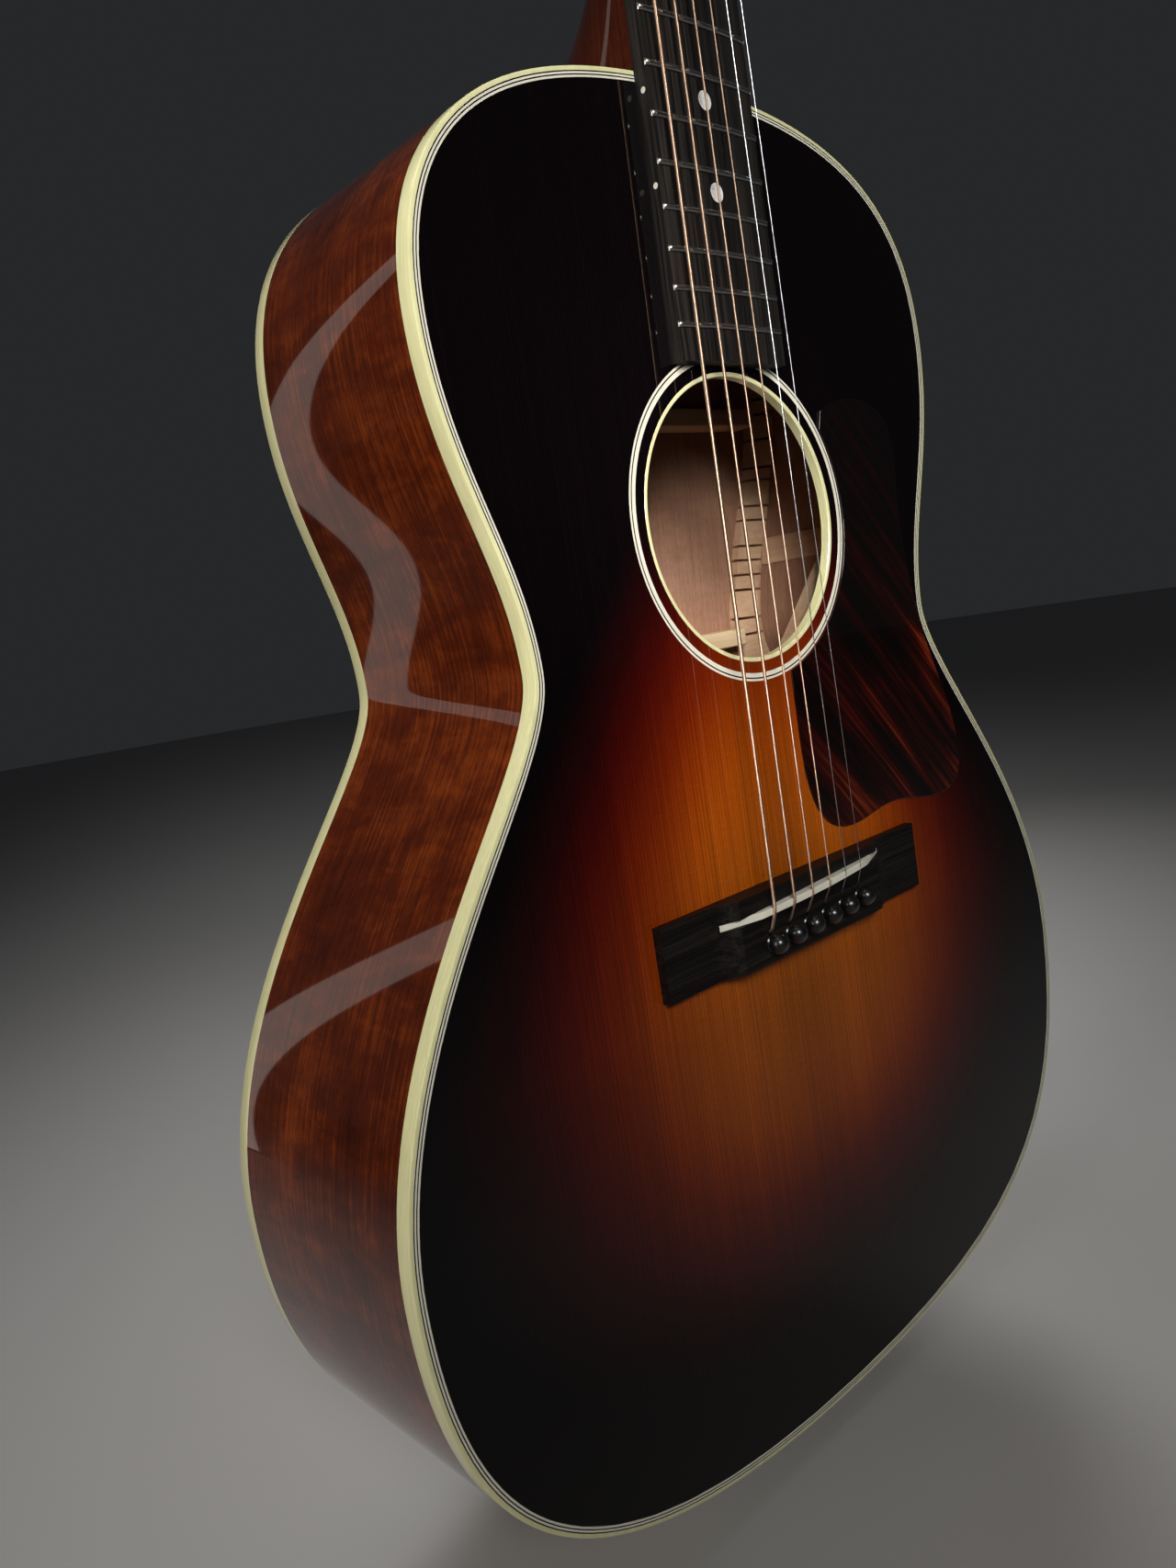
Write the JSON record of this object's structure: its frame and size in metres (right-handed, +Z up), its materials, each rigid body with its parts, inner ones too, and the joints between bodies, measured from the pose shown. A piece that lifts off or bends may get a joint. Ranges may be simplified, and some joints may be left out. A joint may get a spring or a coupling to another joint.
{
  "type": "acoustic guitar",
  "caption": "Small-bodied flat-top steel-string guitar with a domed back, geared tuners, pull-out bridge pins and strings along their real route.",
  "frame": {"origin": "seat of the end pin on the tail, on the centre line and halfway through the depth of the sides", "axes": "+Z up the neck, -Y out of the soundboard, +X to the treble side"},
  "size_m": [0.375, 0.1256, 1.0216],
  "materials": {
    "spruce_sunburst": "gloss lacquer, sunburst",
    "mahogany_gloss": "gloss lacquer",
    "mahogany_neck": "gloss lacquer",
    "ivoroid": "polished cream plastic",
    "purfling_lines": "black and white lines",
    "tortoise": "polished tortoise plastic",
    "spruce_bare": "bare wood",
    "lining_wood": "bare wood",
    "ebony": "oiled ebony",
    "black_plastic": "polished black plastic",
    "bone": "polished bone",
    "pearl": "pearl",
    "fret_nickel": "polished nickel silver",
    "tuner_nickel": "aged nickel",
    "key_cream": "cream plastic button on a steel worm",
    "bronze_wound": "phosphor bronze winding",
    "plain_steel": "polished steel",
    "rod_brass": "plain brass"
  },
  "bodies": {
    "guitar": {"soundboard": "spruce_sunburst", "back_plate": "mahogany_gloss", "rim_bass": "mahogany_gloss", "rim_treble": "mahogany_gloss", "top_binding": "ivoroid", "back_binding": "ivoroid", "top_purfling": "purfling_lines", "top_lining": "lining_wood", "back_lining": "lining_wood", "rosette": "purfling_lines", "soundhole_binding": "ivoroid", "pickguard": "tortoise", "x_brace_a": "spruce_bare", "x_brace_b": "spruce_bare", "tone_bars": "spruce_bare", "finger_braces": "spruce_bare", "transverse_brace": "spruce_bare", "bridge_plate": "lining_wood", "back_braces": "spruce_bare", "back_strip": "spruce_bare", "side_strips": "lining_wood", "neck_block": "lining_wood", "tail_block": "lining_wood", "end_pin": "ebony", "neck": "mahogany_neck", "heel_cap": "ivoroid", "truss_rod": "plain_steel", "truss_rod_cover": "black_plastic", "head_veneer": "black_plastic", "nut": "bone", "fingerboard": "ebony", "frets": "fret_nickel", "inlay_dots": "pearl", "side_dots": "pearl", "bridge": "ebony", "saddle": "bone", "wound_strings": "bronze_wound", "plain_strings": "plain_steel", "tuner_plates": "tuner_nickel", "tuner_bushings": "tuner_nickel", "small_screws": "tuner_nickel"},
    "key_1": {"tuner_key_1": "key_cream"},
    "post_1": {"tuner_post_1": "tuner_nickel"},
    "pin_1": {"bridge_pin_1": "ebony"},
    "key_2": {"tuner_key_2": "key_cream"},
    "post_2": {"tuner_post_2": "tuner_nickel"},
    "pin_2": {"bridge_pin_2": "ebony"},
    "key_3": {"tuner_key_3": "key_cream"},
    "post_3": {"tuner_post_3": "tuner_nickel"},
    "pin_3": {"bridge_pin_3": "ebony"},
    "key_4": {"tuner_key_4": "key_cream"},
    "post_4": {"tuner_post_4": "tuner_nickel"},
    "pin_4": {"bridge_pin_4": "ebony"},
    "key_5": {"tuner_key_5": "key_cream"},
    "post_5": {"tuner_post_5": "tuner_nickel"},
    "pin_5": {"bridge_pin_5": "ebony"},
    "key_6": {"tuner_key_6": "key_cream"},
    "post_6": {"tuner_post_6": "tuner_nickel"},
    "pin_6": {"bridge_pin_6": "ebony"},
    "rod_nut": {"truss_rod_nut": "rod_brass"}
  },
  "joints": [
    {"name": "tuner_key_1_turn", "type": "hinge", "parent": "guitar", "child": "key_1", "pos_m": [0.025, -0.02312, 0.89003], "axis": [1, 0, 0], "continuous": true},
    {"name": "string_post_1_turn", "type": "hinge", "parent": "guitar", "child": "post_1", "pos_m": [0.025, -0.04284, 0.88755], "axis": [0, 0.9659, -0.2588], "continuous": true},
    {"name": "bridge_pin_1_pull", "type": "slide", "parent": "guitar", "child": "pin_1", "axis": [0, -1, 0], "range_m": [0, 0.02]},
    {"name": "tuner_key_2_turn", "type": "hinge", "parent": "guitar", "child": "key_2", "pos_m": [0.025, -0.01303, 0.9277], "axis": [1, 0, 0], "continuous": true},
    {"name": "string_post_2_turn", "type": "hinge", "parent": "guitar", "child": "post_2", "pos_m": [0.025, -0.03274, 0.92522], "axis": [0, 0.9659, -0.2588], "continuous": true},
    {"name": "bridge_pin_2_pull", "type": "slide", "parent": "guitar", "child": "pin_2", "axis": [0, -1, 0], "range_m": [0, 0.02]},
    {"name": "tuner_key_3_turn", "type": "hinge", "parent": "guitar", "child": "key_3", "pos_m": [0.025, -0.00293, 0.96537], "axis": [1, 0, 0], "continuous": true},
    {"name": "string_post_3_turn", "type": "hinge", "parent": "guitar", "child": "post_3", "pos_m": [0.025, -0.02265, 0.96289], "axis": [0, 0.9659, -0.2588], "continuous": true},
    {"name": "bridge_pin_3_pull", "type": "slide", "parent": "guitar", "child": "pin_3", "axis": [0, -1, 0], "range_m": [0, 0.02]},
    {"name": "tuner_key_4_turn", "type": "hinge", "parent": "guitar", "child": "key_4", "pos_m": [-0.025, -0.00293, 0.96537], "axis": [1, 0, 0], "continuous": true},
    {"name": "string_post_4_turn", "type": "hinge", "parent": "guitar", "child": "post_4", "pos_m": [-0.025, -0.02265, 0.96289], "axis": [0, 0.9659, -0.2588], "continuous": true},
    {"name": "bridge_pin_4_pull", "type": "slide", "parent": "guitar", "child": "pin_4", "axis": [0, -1, 0], "range_m": [0, 0.02]},
    {"name": "tuner_key_5_turn", "type": "hinge", "parent": "guitar", "child": "key_5", "pos_m": [-0.025, -0.01303, 0.9277], "axis": [1, 0, 0], "continuous": true},
    {"name": "string_post_5_turn", "type": "hinge", "parent": "guitar", "child": "post_5", "pos_m": [-0.025, -0.03274, 0.92522], "axis": [0, 0.9659, -0.2588], "continuous": true},
    {"name": "bridge_pin_5_pull", "type": "slide", "parent": "guitar", "child": "pin_5", "axis": [0, -1, 0], "range_m": [0, 0.02]},
    {"name": "tuner_key_6_turn", "type": "hinge", "parent": "guitar", "child": "key_6", "pos_m": [-0.025, -0.02312, 0.89003], "axis": [1, 0, 0], "continuous": true},
    {"name": "string_post_6_turn", "type": "hinge", "parent": "guitar", "child": "post_6", "pos_m": [-0.025, -0.04284, 0.88755], "axis": [0, 0.9659, -0.2588], "continuous": true},
    {"name": "bridge_pin_6_pull", "type": "slide", "parent": "guitar", "child": "pin_6", "axis": [0, -1, 0], "range_m": [0, 0.02]},
    {"name": "truss_rod_nut_turn", "type": "hinge", "parent": "guitar", "child": "rod_nut", "pos_m": [0, -0.047, 0.84965], "axis": [0, 0, 1], "range_deg": [-180, 180]}
  ],
  "couplings": [
    {"joint": "string_post_1_turn", "follows": "tuner_key_1_turn", "ratio": -0.071429},
    {"joint": "string_post_2_turn", "follows": "tuner_key_2_turn", "ratio": -0.071429},
    {"joint": "string_post_3_turn", "follows": "tuner_key_3_turn", "ratio": -0.071429},
    {"joint": "string_post_4_turn", "follows": "tuner_key_4_turn", "ratio": -0.071429},
    {"joint": "string_post_5_turn", "follows": "tuner_key_5_turn", "ratio": -0.071429},
    {"joint": "string_post_6_turn", "follows": "tuner_key_6_turn", "ratio": -0.071429}
  ]
}
